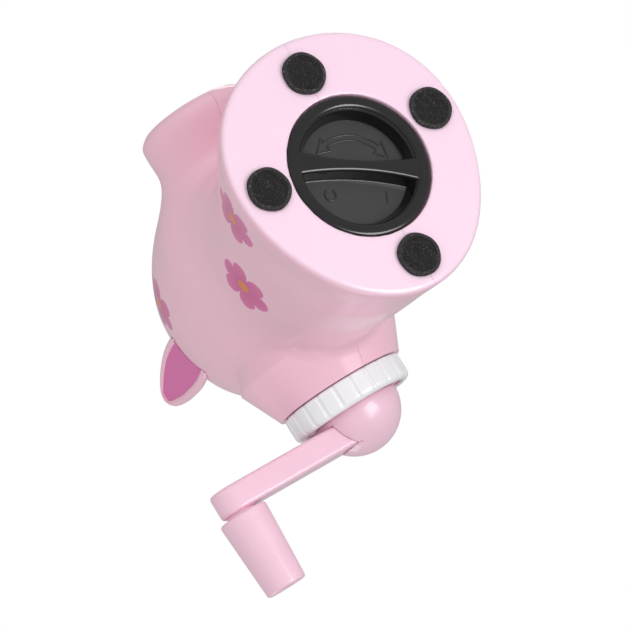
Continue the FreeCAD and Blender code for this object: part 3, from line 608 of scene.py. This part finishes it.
def grip_field(x, y, z):
    """The tapered grip, bored for its pin and recessed at the end for the pin's head."""
    around = np.hypot(y + ARM_REACH, z - AXIS_HEIGHT)
    radius, lean = taper(x, GRIP_END, GRIP_END_RADIUS, GRIP_ROOT, GRIP_ROOT_RADIUS)
    side = (around - radius) * lean
    solid = trim(side, GRIP_END + 0.1 - x, 1.6)
    solid = trim(solid, x - GRIP_ROOT, 1.8)
    recess = trim(around - GRIP_RECESS_RADIUS, x - GRIP_RECESS, 0.5)
    bore = around - PIN_RADIUS - 0.1
    return trim(solid, -lowest(recess, bore), 0.8)


def make_crank():
    """The arm, the dome over its hub and the turning grip."""
    arm = carve_node("tapered_crank_arm", "crank_arm", arm_field, 0.8)
    finish_piece(arm, "crank", "crank_pink", crank_pink, "crank_arm")
    dome = carve_node("crank_cap", "crank_dome", dome_field, 0.8)
    finish_piece(dome, "crank", "crank_pink", crank_pink, "crank_dome")
    grip = carve_node("turning_grip", "crank_grip", grip_field, 0.7)
    finish_piece(grip, "grip", "crank_pink", crank_pink, "crank_grip")


# ---------------------------------------------------------------- ears
EAR_SECTIONS = [
    # share of the height, shift back, half length, half thickness
    (0.00, -1.0, 13.0, 4.6),
    (0.20, 0.0, 14.4, 4.6),
    (0.42, 0.8, 14.0, 4.5),
    (0.62, 2.0, 12.2, 4.3),
    (0.80, 3.4, 9.2, 3.9),
    (0.92, 4.4, 5.8, 3.2),
    (1.00, 5.0, 1.8, 1.4),
]
EAR_LOW = 174.0
EAR_HIGH = 234.0
EAR_OFFSET = 34.5
EAR_CENTRE = 11.0
HOLLOW_TOP = 229.0
HOLLOW_NARROWER = 2.4
HOLLOW_THINNER = 0.9
HOLLOW_SHIFT = 3.4
LINING_DEPTH = 1.6
BODY_GAP = 0.1
shares, shifts, lengths, thicknesses = zip(*EAR_SECTIONS)
ear_levels = [EAR_LOW + share * (EAR_HIGH - EAR_LOW) for share in shares]
ear_shift = Spline(ear_levels, shifts)
ear_length = Spline(ear_levels, lengths)
ear_thickness = Spline(ear_levels, thicknesses)


def leaf_field(x, y, z, narrower, thinner, offset):
    """An upright leaf-shaped lobe, made narrower and thinner by two amounts."""
    length = np.maximum(ear_length.at(z) - narrower, 0.8)
    thick = np.maximum(ear_thickness.at(z) - thinner, 0.6)
    across = np.sqrt(((x + EAR_CENTRE + ear_shift.at(z)) / length) ** 2 + ((y - offset) / thick) ** 2)
    return (across - 1) * thick


def ear_field(x, y, z):
    """The ear with the shallow hollow that takes its lining."""
    lobe = trim(leaf_field(x, y, z, 0.0, 0.0, EAR_OFFSET), z - EAR_HIGH + 0.1, 1.2)
    lobe = highest(lobe, EAR_LOW - z)
    hollow = leaf_field(x, y, z, HOLLOW_NARROWER, HOLLOW_THINNER, EAR_OFFSET + HOLLOW_SHIFT)
    hollow = highest(hollow, z - HOLLOW_TOP)
    lobe = trim(lobe, -hollow, 0.7)
    return highest(lobe, BODY_GAP - stack_field(x, y, z))


def lining_field(x, y, z):
    """The thin insert that lies in the ear's hollow."""
    insert = leaf_field(x, y, z, HOLLOW_NARROWER, HOLLOW_THINNER, EAR_OFFSET + HOLLOW_SHIFT)
    insert = highest(insert, leaf_field(x, y, z, 0.0, 0.0, EAR_OFFSET), y - EAR_OFFSET - LINING_DEPTH)
    insert = highest(insert, z - HOLLOW_TOP, EAR_LOW - z)
    return highest(insert, BODY_GAP - stack_field(x, y, z))


def make_ears():
    """Both ears and their linings."""
    low, high = extent("left_ear")
    low[Z] = EAR_LOW - 1
    for side, mirrored in (("left", False), ("right", True)):
        ear = carve(side + "_ear_leaf", ear_field, low - 1, high + 1, 0.8, mirrored)
        finish_piece(ear, "body", "body_pink", body_pink, side + "_ear")
        lining = carve(side + "_ear_inner", lining_field, low - 1, high + 1, 0.8, mirrored)
        finish_piece(lining, "body", "ear_magenta", ear_magenta, side + "_ear_lining")


# ---------------------------------------------------------------- feet and pusher
FOAM_WAVER = 0.12
SLIDER_SIZE = (43.0, 33.0)
FLANGE_SIZE = (54.0, 42.0)
SLIDER_BORE = (39.0, 29.0)
FLANGE_HEIGHT = 2.4
DISH_RISE = 40.0
DISH_RADIUS = 41.2


def make_feet():
    """Four foam pads with slightly uneven edges."""
    for node in ("front_foot_pad", "rear_foot_pad", "left_foot_pad", "right_foot_pad"):
        low, high = extent(node)
        centre = (low + high) / 2
        radius = (high[X] - low[X]) / 2

        def pad_field(x, y, z):
            around = np.hypot(x - centre[X], y - centre[Y])
            waver = FOAM_WAVER * np.sin(5 * np.arctan2(y - centre[Y], x - centre[X]) + centre[X])
            return trim(around - radius + FOAM_WAVER + waver, slab(z, low[Z], high[Z]), 1.0)

        pad = carve(node.replace("pad", "foam"), pad_field, low, high, 0.55)
        finish_piece(pad, "body", "foot_foam", foot_foam, node)


def pusher_field(x, y, z):
    """The hollow slider and the flange it hangs from."""
    low, high = extent("food_pusher")
    centre = ((low[X] + high[X]) / 2, 0)
    flange_low = high[Z] - FLANGE_HEIGHT
    slider = rounded_plate(x, y, z, centre, SLIDER_SIZE, low[Z], flange_low + 1, 2.0, 0.8)
    flange = rounded_plate(x, y, z, centre, FLANGE_SIZE, flange_low, high[Z], 7.0, 1.2)
    hollow = rounded_plate(x, y, z, centre, SLIDER_BORE, low[Z] + 8, high[Z] + 9, 1.5, 0.6)
    return highest(lowest(slider, flange), -hollow)


def cap_field(x, y, z):
    """The cap that the hand presses, with a shallow dish."""
    low, high = extent("pusher_cap")
    centre_x = (low[X] + high[X]) / 2
    size = (high[X] - low[X], high[Y] - low[Y])
    plate = rounded_plate(x, y, z, (centre_x, 0), size, low[Z], high[Z], 6.0, 2.4)
    dish = np.sqrt((x - centre_x) ** 2 + y ** 2 + (z - high[Z] - DISH_RISE) ** 2) - DISH_RADIUS
    return trim(plate, -dish, 0.8)


def make_pusher():
    """The food pusher and its cap."""
    pusher = carve_node("pusher_slider", "food_pusher", pusher_field, 0.9)
    finish_piece(pusher, "pusher", "body_pink", crank_pink, "food_pusher")
    cap = carve_node("pusher_press_cap", "pusher_cap", cap_field, 0.8)
    finish_piece(cap, "pusher", "body_pink", crank_pink, "pusher_cap")


# ---------------------------------------------------------------- materials
def linear(red, green, blue):
    """Scene-linear colour from display values of 0 to 255."""
    def channel(value):
        value = value / 255
        return value / 12.92 if value <= 0.04045 else ((value + 0.055) / 1.055) ** 2.4
    return (channel(red), channel(green), channel(blue), 1.0)


class Recipe:
    """Short-hand for building one material's nodes."""

    def __init__(self, name):
        self.material = bpy.data.materials.new(name)
        self.material.use_nodes = True
        self.tree = self.material.node_tree
        self.shader = self.tree.nodes["Principled BSDF"]
        self.place = self.tree.nodes.new("ShaderNodeTexCoord").outputs["Object"]

    def put(self, socket, value):
        if isinstance(value, bpy.types.NodeSocket):
            self.tree.links.new(value, socket)
        else:
            socket.default_value = value

    def maths(self, operation, *values):
        node = self.tree.nodes.new("ShaderNodeMath")
        node.operation = operation
        for socket, value in zip(node.inputs, values):
            self.put(socket, value)
        return node.outputs[0]

    def distance(self, first, second):
        """Square root of the sum of two squares."""
        squares = [self.maths("MULTIPLY", value, value) for value in (first, second)]
        return self.maths("SQRT", self.maths("ADD", *squares))

    def noise(self, scale, detail=2.0, roughness=0.5, stretch=None):
        node = self.tree.nodes.new("ShaderNodeTexNoise")
        node.inputs["Scale"].default_value = scale
        node.inputs["Detail"].default_value = detail
        node.inputs["Roughness"].default_value = roughness
        place = self.place
        if stretch:
            mapping = self.tree.nodes.new("ShaderNodeMapping")
            mapping.inputs["Scale"].default_value = stretch
            self.put(mapping.inputs["Vector"], place)
            place = mapping.outputs["Vector"]
        self.put(node.inputs["Vector"], place)
        return node.outputs["Fac"]

    def spread(self, value, low, high, new_low, new_high, smooth=False):
        node = self.tree.nodes.new("ShaderNodeMapRange")
        node.interpolation_type = "SMOOTHSTEP" if smooth else "LINEAR"
        names = ("From Min", "From Max", "To Min", "To Max")
        for name, number in zip(names, (low, high, new_low, new_high)):
            node.inputs[name].default_value = number
        self.put(node.inputs["Value"], value)
        return node.outputs["Result"]

    def blend(self, share, first, second):
        node = self.tree.nodes.new("ShaderNodeMix")
        node.data_type = "RGBA"
        self.put(node.inputs["Factor"], share)
        self.put(node.inputs["A"], first)
        self.put(node.inputs["B"], second)
        return node.outputs["Result"]

    def bump(self, height, strength, distance, base=None):
        node = self.tree.nodes.new("ShaderNodeBump")
        node.inputs["Strength"].default_value = strength
        node.inputs["Distance"].default_value = distance
        self.put(node.inputs["Height"], height)
        if base:
            self.put(node.inputs["Normal"], base)
        return node.outputs["Normal"]

    def colour(self, value):
        self.put(self.shader.inputs["Base Color"], value)

    def roughness(self, value):
        self.put(self.shader.inputs["Roughness"], value)

    def normal(self, value):
        self.put(self.shader.inputs["Normal"], value)

    def constants(self, **values):
        for name, value in values.items():
            self.shader.inputs[name.replace("_", " ")].default_value = value


def shade(colour, factor):
    """A colour made darker or lighter."""
    return tuple(channel * factor for channel in colour[:3]) + (1.0,)


def glossy_plastic(name, colour, rough=0.48, coat=0.6, decorate=None):
    """Moulded plastic: a hazy body under a glossy skin, with faint flow mottling and sink waves."""
    recipe = Recipe(name)
    mottle = recipe.spread(recipe.noise(28.0, 3.0), 0.3, 0.7, 0.0, 1.0)
    base = recipe.blend(mottle, shade(colour, 0.972), shade(colour, 1.015))
    if decorate:
        base = decorate(recipe, base)
    recipe.colour(base)
    recipe.roughness(recipe.spread(recipe.noise(60.0, 4.0), 0.3, 0.7, rough - 0.03, rough + 0.05))
    waves = recipe.bump(recipe.noise(22.0, 1.0), 0.25, 0.0006)
    recipe.normal(recipe.bump(recipe.noise(1500.0, 2.0), 0.05, 0.0001, waves))
    recipe.constants(Coat_Weight=coat, Coat_Roughness=0.06, IOR=1.5)
    return recipe.material


FLOWERS = [
    # centre of each printed flower on the side of the body, in metres
    (0.0093, 0.053, 0.0274),
    (-0.0110, 0.044, 0.0735),
    (0.0185, 0.0385, 0.1735),
]
PETAL_REACH = 0.0148


def flower_prints_and_painted_sheen(recipe, base):
    """Six-petalled flowers printed on both sides of the body, and a painted sheen that makes its flat
    bottom paler.
    """
    split = recipe.tree.nodes.new("ShaderNodeSeparateXYZ")
    recipe.put(split.inputs[0], recipe.place)
    x, y, z = split.outputs
    side = recipe.maths("ABSOLUTE", y)
    ragged = recipe.spread(recipe.noise(420.0, 3.0), 0.2, 0.8, -0.00035, 0.00035)
    petal = linear(226, 108, 168)
    deep = linear(205, 84, 148)
    for centre_x, centre_y, centre_z in FLOWERS:
        right = recipe.maths("SUBTRACT", x, centre_x)
        up = recipe.maths("SUBTRACT", z, centre_z)
        depth = recipe.maths("SUBTRACT", side, centre_y)
        away = recipe.distance(right, up)
        turn = recipe.maths("ARCTAN2", right, up)
        wave = recipe.maths("ABSOLUTE", recipe.maths("SINE", recipe.maths("MULTIPLY", turn, 3.0)))
        lobes = recipe.maths("POWER", wave, 0.55)
        sideways = recipe.maths("ABSOLUTE", recipe.maths("SINE", turn))
        notch = recipe.maths("MULTIPLY_ADD", sideways, 0.34 * PETAL_REACH, 0.36 * PETAL_REACH)
        petal_rise = recipe.maths("SUBTRACT", PETAL_REACH, notch)
        reach = recipe.maths("MULTIPLY_ADD", lobes, petal_rise, notch)
        edge = recipe.maths("ADD", recipe.maths("SUBTRACT", away, reach), ragged)
        inside = recipe.spread(edge, -0.0003, 0.0003, 1.0, 0.0, smooth=True)
        near = recipe.spread(recipe.maths("ABSOLUTE", depth), 0.02, 0.022, 1.0, 0.0)
        inside = recipe.maths("MULTIPLY", inside, near)
        veins = recipe.spread(away, 0.3 * PETAL_REACH, PETAL_REACH, 0.75, 0.0)
        ink = recipe.blend(veins, petal, deep)
        base = recipe.blend(inside, base, ink)
        heart = recipe.spread(recipe.maths("ADD", away, ragged), 0.0030, 0.0036, 1.0, 0.0, smooth=True)
        base = recipe.blend(recipe.maths("MULTIPLY", heart, near), base, linear(226, 128, 36))
    # Painted sheen: the flat bottom face is blended towards a paler, whiter pink that stands in for the
    # light it catches from below.
    painted_bottom_sheen = recipe.spread(z, 0.0024, 0.0044, 1.0, 0.0, smooth=True)
    return recipe.blend(painted_bottom_sheen, base, linear(249, 217, 236))


def black_plastic(name):
    """Glossy black moulding; the recessed floor is spark-eroded to a greyer satin."""
    recipe = Recipe(name)
    split = recipe.tree.nodes.new("ShaderNodeSeparateXYZ")
    recipe.put(split.inputs[0], recipe.place)
    around = recipe.distance(split.outputs[X], split.outputs[Y])
    level = recipe.spread(split.outputs[Z], (PLUG_FLOOR - 0.6) * MM, (PLUG_FLOOR - 0.2) * MM, 0.0, 1.0)
    within = recipe.spread(around, 24.0 * MM, 24.6 * MM, 1.0, 0.0)
    satin = recipe.maths("MULTIPLY", level, within)
    mottle = recipe.noise(90.0, 4.0)
    gloss = recipe.blend(mottle, linear(19, 19, 20), linear(27, 27, 28))
    floor = recipe.blend(mottle, linear(46, 46, 48), linear(56, 56, 58))
    recipe.colour(recipe.blend(satin, gloss, floor))
    polish = recipe.spread(recipe.noise(160.0, 4.0), 0.3, 0.7, 0.16, 0.28)
    recipe.roughness(recipe.maths("MULTIPLY_ADD", satin, 0.25, polish))
    recipe.normal(recipe.bump(recipe.noise(700.0, 3.0), 0.10, 0.00012))
    recipe.constants(Specular_IOR_Level=0.35, Coat_Weight=0.6, Coat_Roughness=0.08)
    return recipe.material


def black_foam(name):
    """Closed-cell foam rubber: pitted, dull, with tiny painted glints on its cell walls."""
    recipe = Recipe(name)
    cells = recipe.noise(1150.0, 2.0, 0.7)
    # Painted glints: light grey specks in the base colour stand in for light caught by the cell walls.
    painted_glints = recipe.spread(cells, 0.60, 0.74, 0.0, 1.0)
    recipe.colour(recipe.blend(painted_glints, linear(52, 50, 50), linear(150, 150, 146)))
    recipe.roughness(recipe.spread(cells, 0.3, 0.7, 0.75, 1.0))
    recipe.normal(recipe.bump(recipe.noise(900.0, 4.0, 0.7), 0.9, 0.0006))
    recipe.constants(Specular_IOR_Level=0.3)
    return recipe.material


def soft_rubber(name):
    """Dull dark rubber with a fine grain."""
    recipe = Recipe(name)
    recipe.colour(recipe.blend(recipe.noise(300.0, 3.0), linear(40, 40, 42), linear(58, 58, 60)))
    recipe.roughness(recipe.spread(recipe.noise(500.0), 0.3, 0.7, 0.6, 0.8))
    recipe.normal(recipe.bump(recipe.noise(1200.0), 0.2, 0.0001))
    return recipe.material


def steel(name, rough, stretch):
    """Stainless steel with fine drawn lines."""
    recipe = Recipe(name)
    lines = recipe.noise(90.0, 5.0, 0.6, stretch)
    recipe.colour(recipe.blend(lines, linear(176, 178, 182), linear(206, 207, 209)))
    recipe.roughness(recipe.spread(lines, 0.25, 0.75, rough, rough + 0.14))
    recipe.normal(recipe.bump(lines, 0.12, 0.00008))
    recipe.constants(Metallic=1.0)
    return recipe.material


def finish_piece(piece, body, slot, material, *nodes):
    """Gives a piece its material, hangs it under the empty of the body it moves with, and hides the CAD
    nodes it stands for.
    """
    piece.data.materials.append(material)
    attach(piece, body)
    if nodes:
        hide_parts(*nodes)


BODY_COLOUR = linear(250, 200, 218)
# The body's material holds the printed flowers and the painted sheen on its flat bottom.
body_pink = glossy_plastic("body_pink_print_and_painted_sheen", BODY_COLOUR, decorate=flower_prints_and_painted_sheen)
crank_pink = glossy_plastic("crank_pink_plastic", linear(247, 204, 223))
housing_pink = glossy_plastic("housing_pink_plastic", linear(244, 192, 211), coat=0.1)
ear_magenta = glossy_plastic("ear_magenta_plastic", linear(224, 116, 176), coat=0.2)
ring_white = glossy_plastic("ring_white_plastic", linear(246, 249, 251))
bush_white = glossy_plastic("bush_white_plastic", linear(232, 231, 226), coat=0.0)
plug_black = black_plastic("plug_black_plastic")
foot_foam = black_foam("foot_black_foam")
gasket_rubber = soft_rubber("gasket_dark_rubber")
drum_steel = steel("drum_drawn_steel", 0.22, (0.15, 6.0, 6.0))
bright_steel = steel("turned_bright_steel", 0.16, (8.0, 1.0, 1.0))

CAD_FINISHES = {
    "drum_housing": housing_pink,
    "cover_plate": housing_pink,
    "shaft_bush": bush_white,
    "drive_shaft": bright_steel,
    "drum_hub": bush_white,
    "grating_drum": drum_steel,
    "drum_rim": bush_white,
    "crank_screw": bright_steel,
    "grip_pin": crank_pink,
    "grip_washer": crank_pink,
    "plug_gasket": gasket_rubber,
    "joint_dowels": bush_white,
}


def dress_cad_nodes():
    """Finishes for the CAD nodes that show as they are."""
    for node, material in CAD_FINISHES.items():
        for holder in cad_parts[node].material_slots:
            holder.material = material


# ---------------------------------------------------------------- studio
CAMERA_PLACE = Vector((-0.1858, -0.5351, -0.9316))
CAMERA_AIM = Vector((-0.0322, -0.0019, 0.1098))
CAMERA_ROLL = math.radians(-136.336)
CAMERA_LENS = 145.43
SCENE_CENTRE = Vector((-0.015, -0.005, 0.11))


def make_camera():
    """The camera, below and behind the object."""
    data = bpy.data.cameras.new("product_camera")
    data.lens = CAMERA_LENS
    data.sensor_width = 36.0
    data.clip_start = 0.05
    data.clip_end = 50.0
    camera = bpy.data.objects.new("product_camera", data)
    aim = (CAMERA_AIM - CAMERA_PLACE).to_track_quat("-Z", "Y").to_matrix()
    turned = aim @ Matrix.Rotation(CAMERA_ROLL, 3, "Z")
    camera.matrix_world = Matrix.Translation(CAMERA_PLACE) @ turned.to_4x4()
    bpy.context.scene.collection.objects.link(camera)
    bpy.context.scene.camera = camera


def area_light(name, place, size, power):
    """A white softbox that faces the object."""
    data = bpy.data.lights.new(name, "AREA")
    data.shape = "RECTANGLE"
    data.size, data.size_y = size
    data.energy = power
    light = bpy.data.objects.new(name, data)
    light.location = Vector(place)
    light.rotation_euler = (SCENE_CENTRE - light.location).to_track_quat("-Z", "Y").to_euler()
    bpy.context.scene.collection.objects.link(light)
    return light


def make_lights():
    """A bright softbox seen as the square highlight, wide fills, and two lights for other views."""
    highlight = area_light("under_box", (-0.45, 0.23, -0.80), (0.44, 0.44), 3.0)
    highlight.visible_diffuse = False
    area_light("key_box", (-0.50, 0.20, -0.76), (0.62, 0.62), 3.4)
    area_light("main_box", (0.40, -0.55, -0.88), (0.8, 0.8), 4.0).visible_glossy = False
    area_light("floor_panel", (0.27, 0.78, -1.27), (1.3, 1.3), 3.7).visible_glossy = False
    area_light("side_fill", (-0.1, -1.1, 0.3), (0.5, 0.9), 1.6).visible_glossy = False
    area_light("top_box", (-0.95, -0.45, 0.85), (0.6, 0.6), 2.6)
    area_light("back_box", (0.8, 0.9, 0.7), (0.6, 0.6), 2.0)


def make_world():
    """White to the camera and a dimmer white for everything else."""
    world = bpy.data.worlds.new("white_studio")
    world.use_nodes = True
    background = world.node_tree.nodes["Background"]
    background.inputs["Color"].default_value = (1.0, 1.0, 1.0, 1.0)
    path = world.node_tree.nodes.new("ShaderNodeLightPath")
    level = world.node_tree.nodes.new("ShaderNodeMapRange")
    level.inputs["To Min"].default_value = 0.46
    level.inputs["To Max"].default_value = 1.0
    world.node_tree.links.new(path.outputs["Is Camera Ray"], level.inputs["Value"])
    world.node_tree.links.new(level.outputs["Result"], background.inputs["Strength"])
    bpy.context.scene.world = world
    bpy.context.scene.view_settings.view_transform = "Standard"


def make_floor():
    """A pale floor that shows only from above, so the view from below stays open."""
    reach = 3.0 / MM
    corners = np.array([(-reach, -reach, 0), (reach, -reach, 0), (reach, reach, 0), (-reach, reach, 0)])
    floor = mesh_object("studio_floor", corners, np.array([(0, 1, 2, 3)]))
    recipe = Recipe("floor_pale")
    recipe.colour(recipe.blend(recipe.noise(6.0, 3.0), linear(240, 240, 240), linear(246, 246, 246)))
    recipe.roughness(recipe.spread(recipe.noise(20.0), 0.3, 0.7, 0.6, 0.75))
    tree = recipe.tree
    clear = tree.nodes.new("ShaderNodeBsdfTransparent")
    mix = tree.nodes.new("ShaderNodeMixShader")
    geometry = tree.nodes.new("ShaderNodeNewGeometry")
    tree.links.new(geometry.outputs["Backfacing"], mix.inputs["Fac"])
    tree.links.new(recipe.shader.outputs[0], mix.inputs[1])
    tree.links.new(clear.outputs[0], mix.inputs[2])
    tree.links.new(mix.outputs[0], tree.nodes["Material Output"].inputs["Surface"])
    floor.data.materials.append(recipe.material)
    floor.visible_shadow = False
    floor.visible_diffuse = False
    floor.visible_glossy = False


# ---------------------------------------------------------------- assembly
make_camera()
make_lights()
make_world()
make_floor()
dress_cad_nodes()
make_shells()
make_plug()
make_ring()
make_crank()
make_ears()
make_feet()
make_pusher()

bpy.context.view_layer.update()
